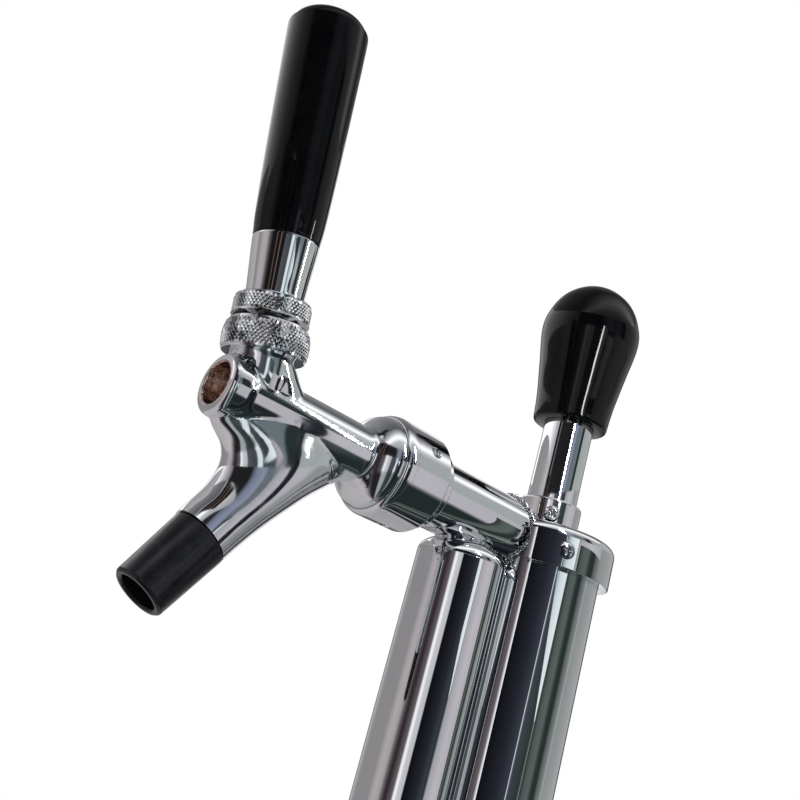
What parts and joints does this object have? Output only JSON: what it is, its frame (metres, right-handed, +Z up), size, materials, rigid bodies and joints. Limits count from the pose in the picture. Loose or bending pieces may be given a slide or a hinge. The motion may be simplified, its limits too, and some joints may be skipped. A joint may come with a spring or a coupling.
{
  "type": "keg party pump",
  "caption": "Chromed hand air pump and beer column side by side on a keg coupler, with a lever faucet on a cross arm.",
  "frame": {"origin": "the column's axis in the plane where the coupler's flange rests on the keg's neck", "axes": "+Z up along the column, -Y from the column towards the faucet, +X to the right seen from the faucet's mouth"},
  "size_m": [0.116, 0.2114, 0.4379],
  "materials": {
    "chrome": "polished chrome plate on brass",
    "solder": "plated weld and solder beads",
    "brass": "machined brass",
    "stainless": "bright stainless steel",
    "black_gloss": "glossy black moulding",
    "black_satin": "satin black moulding",
    "white_plastic": "natural nylon",
    "rubber": "black rubber",
    "leather": "oiled leather"
  },
  "bodies": {
    "keg_lock": {"lug_base": "chrome", "neck_seal": "rubber", "snap_ring": "stainless"},
    "turning_collar": {"wing_collar": "chrome"},
    "tap": {"manifold": "chrome", "stem_seals": "rubber", "cylinder_seal": "rubber", "probe": "stainless", "probe_seal": "rubber", "check_ball": "white_plastic", "column_tube": "chrome", "column_cap": "chrome", "seam_solder": "solder", "arm_tube": "chrome", "arm_welds": "solder", "beer_tube": "stainless", "pump_cylinder": "chrome", "check_valve": "rubber", "valve_retainer": "brass", "cap_gasket": "rubber", "pump_cap": "chrome", "cap_screws": "chrome", "rod_bush": "chrome", "bush_screw": "chrome", "relief_body": "chrome", "relief_spring": "stainless", "faucet_shank": "chrome", "coupling_nut": "chrome", "coupling_gasket": "rubber", "faucet_body": "chrome", "spout_tip": "black_satin", "ball_washer": "white_plastic", "friction_washer": "white_plastic", "bonnet": "chrome"},
    "pump_plunger": {"pump_rod": "chrome", "rod_end_plug": "brass", "piston_nut": "brass", "piston_washer": "brass", "piston_cup": "leather", "piston_spacer": "brass", "piston_plate": "brass", "knob_stud": "brass", "pump_knob": "black_gloss"},
    "handle": {"faucet_lever": "stainless", "lever_collar": "chrome", "handle_ferrule": "chrome", "handle_insert": "brass", "tap_handle": "black_gloss"},
    "valve": {"valve_shaft": "brass", "seat_washer": "rubber", "shaft_nut": "brass"},
    "relief": {"relief_pin": "stainless", "relief_seal": "rubber"},
    "pull_ring": {"relief_ring": "stainless"}
  },
  "joints": [
    {"name": "tap_lift", "type": "slide", "parent": "keg_lock", "child": "tap", "axis": [0, 0, 1], "range_m": [0, 0.009]},
    {"name": "collar_turn", "type": "hinge", "parent": "keg_lock", "child": "turning_collar", "pos_m": [0, 0, 0], "axis": [0, 0, 1], "range_deg": [0, 90.5]},
    {"name": "pump_stroke", "type": "slide", "parent": "tap", "child": "pump_plunger", "axis": [0, 0, 1], "range_m": [-0.034, 0.122]},
    {"name": "handle_pull", "type": "hinge", "parent": "tap", "child": "handle", "pos_m": [0, -0.109, 0.277], "axis": [1, 0, 0], "range_deg": [0, 23]},
    {"name": "valve_slide", "type": "slide", "parent": "tap", "child": "valve", "axis": [0, 1, 0], "range_m": [0, 0.0073]},
    {"name": "relief_pull", "type": "slide", "parent": "tap", "child": "relief", "axis": [1, 0, 0], "range_m": [0, 0.003], "stiffness_N_per_m": 1500, "springref_m": -0.002, "deforming": ["relief_spring"]},
    {"name": "ring_swing", "type": "hinge", "parent": "relief", "child": "pull_ring", "pos_m": [0.0474, 0.021, 0.054], "axis": [0, 1, 0], "range_deg": [-100, 55]}
  ],
  "couplings": [
    {"joint": "collar_turn", "follows": "tap_lift", "rad_per_m": 174.53},
    {"joint": "valve_slide", "follows": "handle_pull", "m_per_rad": 0.01775}
  ]
}
